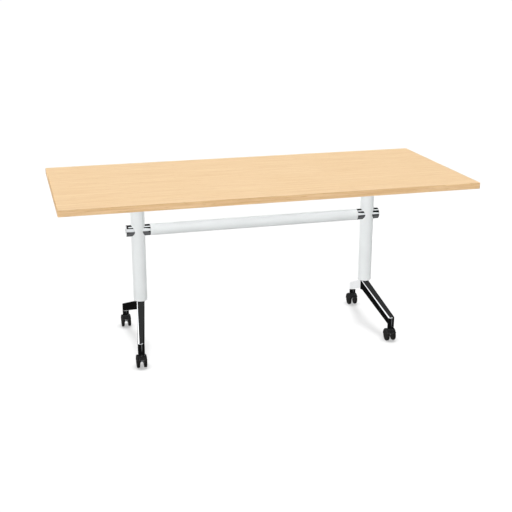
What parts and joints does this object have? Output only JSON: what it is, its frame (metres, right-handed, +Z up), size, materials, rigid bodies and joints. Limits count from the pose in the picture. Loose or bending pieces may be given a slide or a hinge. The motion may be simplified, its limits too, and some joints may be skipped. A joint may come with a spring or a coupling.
{
  "type": "flip top training table",
  "caption": "Rectangular beech laminate training table whose top tips upright on round posts joined by a stretcher, with splayed chrome feet on braked castors.",
  "frame": {"origin": "on the floor, under the middle of the tabletop", "axes": "+X along the table to its right end, +Y to its rear edge, +Z up"},
  "size_m": [1.7, 0.74, 0.72],
  "materials": {
    "beech_laminate": "satin beech laminate, fine straight grain along X",
    "edge_band": "beech coloured ABS edge band, satin",
    "pale_coat": "pale grey powder coat, semi gloss",
    "chrome": "polished chrome plate",
    "zinc": "bright zinc plate",
    "black_steel": "black powder coat, satin",
    "black_nylon": "black moulded nylon, satin",
    "pale_nylon": "natural nylon, matt"
  },
  "bodies": {
    "frame": {"stretcher_tube": "pale_coat", "left_post": "pale_coat", "left_tilt_head": "black_steel", "left_pivot_bush": "pale_nylon", "left_inner_collar": "chrome", "left_outer_collar": "chrome", "left_tie_bolt": "zinc", "left_stretcher_insert": "zinc", "left_foot": "chrome", "left_foot_bolt": "zinc", "left_post_nut": "zinc", "right_post": "pale_coat", "right_tilt_head": "black_steel", "right_pivot_bush": "pale_nylon", "right_inner_collar": "chrome", "right_outer_collar": "chrome", "right_tie_bolt": "zinc", "right_stretcher_insert": "zinc", "right_foot": "chrome", "right_foot_bolt": "zinc", "right_post_nut": "zinc"},
    "top": {"tabletop_board": "beech_laminate", "tabletop_edge_band": "edge_band", "left_tilt_bracket": "black_steel", "left_pivot_pin": "zinc", "left_bracket_screw_1": "zinc", "left_bracket_screw_2": "zinc", "left_bracket_screw_3": "zinc", "left_bracket_screw_4": "zinc", "right_tilt_bracket": "black_steel", "right_pivot_pin": "zinc", "right_bracket_screw_1": "zinc", "right_bracket_screw_2": "zinc", "right_bracket_screw_3": "zinc", "right_bracket_screw_4": "zinc"},
    "left_clamp": {"left_clamp_lever": "black_nylon"},
    "right_clamp": {"right_clamp_lever": "black_nylon"},
    "front_left_castor": {"front_left_castor_stem": "zinc", "front_left_castor_hood": "black_nylon", "front_left_castor_axle": "zinc"},
    "front_left_outer_wheel": {"front_left_outer_wheel": "black_nylon"},
    "front_left_inner_wheel": {"front_left_inner_wheel": "black_nylon"},
    "front_left_brake": {"front_left_brake_pedal": "black_nylon"},
    "front_right_castor": {"front_right_castor_stem": "zinc", "front_right_castor_hood": "black_nylon", "front_right_castor_axle": "zinc"},
    "front_right_outer_wheel": {"front_right_outer_wheel": "black_nylon"},
    "front_right_inner_wheel": {"front_right_inner_wheel": "black_nylon"},
    "front_right_brake": {"front_right_brake_pedal": "black_nylon"},
    "rear_left_castor": {"rear_left_castor_stem": "zinc", "rear_left_castor_hood": "black_nylon", "rear_left_castor_axle": "zinc"},
    "rear_left_outer_wheel": {"rear_left_outer_wheel": "black_nylon"},
    "rear_left_inner_wheel": {"rear_left_inner_wheel": "black_nylon"},
    "rear_right_castor": {"rear_right_castor_stem": "zinc", "rear_right_castor_hood": "black_nylon", "rear_right_castor_axle": "zinc"},
    "rear_right_outer_wheel": {"rear_right_outer_wheel": "black_nylon"},
    "rear_right_inner_wheel": {"rear_right_inner_wheel": "black_nylon"}
  },
  "joints": [
    {"name": "top_flip", "type": "hinge", "parent": "frame", "child": "top", "pos_m": [0, 0, 0.655], "axis": [1, 0, 0], "range_deg": [0, 90]},
    {"name": "left_clamp_turn", "type": "hinge", "parent": "frame", "child": "left_clamp", "pos_m": [-0.508, 0, 0.628], "axis": [1, 0, 0], "range_deg": [-80, 0]},
    {"name": "right_clamp_turn", "type": "hinge", "parent": "frame", "child": "right_clamp", "pos_m": [0.508, 0, 0.628], "axis": [1, 0, 0], "range_deg": [-80, 0]},
    {"name": "front_left_swivel", "type": "hinge", "parent": "frame", "child": "front_left_castor", "pos_m": [-0.545, -0.231, 0.057], "axis": [0, 0, 1], "continuous": true},
    {"name": "front_left_outer_wheel_spin", "type": "hinge", "parent": "front_left_castor", "child": "front_left_outer_wheel", "pos_m": [-0.545, -0.225, 0.025], "axis": [1, 0, 0], "continuous": true},
    {"name": "front_left_inner_wheel_spin", "type": "hinge", "parent": "front_left_castor", "child": "front_left_inner_wheel", "pos_m": [-0.545, -0.225, 0.025], "axis": [1, 0, 0], "continuous": true},
    {"name": "front_left_brake_press", "type": "hinge", "parent": "front_left_castor", "child": "front_left_brake", "pos_m": [-0.545, -0.24119, 0.04063], "axis": [1, 0, 0], "range_deg": [-15, 0]},
    {"name": "front_right_swivel", "type": "hinge", "parent": "frame", "child": "front_right_castor", "pos_m": [0.545, -0.231, 0.057], "axis": [0, 0, 1], "continuous": true},
    {"name": "front_right_outer_wheel_spin", "type": "hinge", "parent": "front_right_castor", "child": "front_right_outer_wheel", "pos_m": [0.545, -0.225, 0.025], "axis": [1, 0, 0], "continuous": true},
    {"name": "front_right_inner_wheel_spin", "type": "hinge", "parent": "front_right_castor", "child": "front_right_inner_wheel", "pos_m": [0.545, -0.225, 0.025], "axis": [1, 0, 0], "continuous": true},
    {"name": "front_right_brake_press", "type": "hinge", "parent": "front_right_castor", "child": "front_right_brake", "pos_m": [0.545, -0.24119, 0.04063], "axis": [1, 0, 0], "range_deg": [-15, 0]},
    {"name": "rear_left_swivel", "type": "hinge", "parent": "frame", "child": "rear_left_castor", "pos_m": [-0.545, 0.231, 0.057], "axis": [0, 0, 1], "continuous": true},
    {"name": "rear_left_outer_wheel_spin", "type": "hinge", "parent": "rear_left_castor", "child": "rear_left_outer_wheel", "pos_m": [-0.545, 0.237, 0.025], "axis": [1, 0, 0], "continuous": true},
    {"name": "rear_left_inner_wheel_spin", "type": "hinge", "parent": "rear_left_castor", "child": "rear_left_inner_wheel", "pos_m": [-0.545, 0.237, 0.025], "axis": [1, 0, 0], "continuous": true},
    {"name": "rear_right_swivel", "type": "hinge", "parent": "frame", "child": "rear_right_castor", "pos_m": [0.545, 0.231, 0.057], "axis": [0, 0, 1], "continuous": true},
    {"name": "rear_right_outer_wheel_spin", "type": "hinge", "parent": "rear_right_castor", "child": "rear_right_outer_wheel", "pos_m": [0.545, 0.237, 0.025], "axis": [1, 0, 0], "continuous": true},
    {"name": "rear_right_inner_wheel_spin", "type": "hinge", "parent": "rear_right_castor", "child": "rear_right_inner_wheel", "pos_m": [0.545, 0.237, 0.025], "axis": [1, 0, 0], "continuous": true}
  ]
}
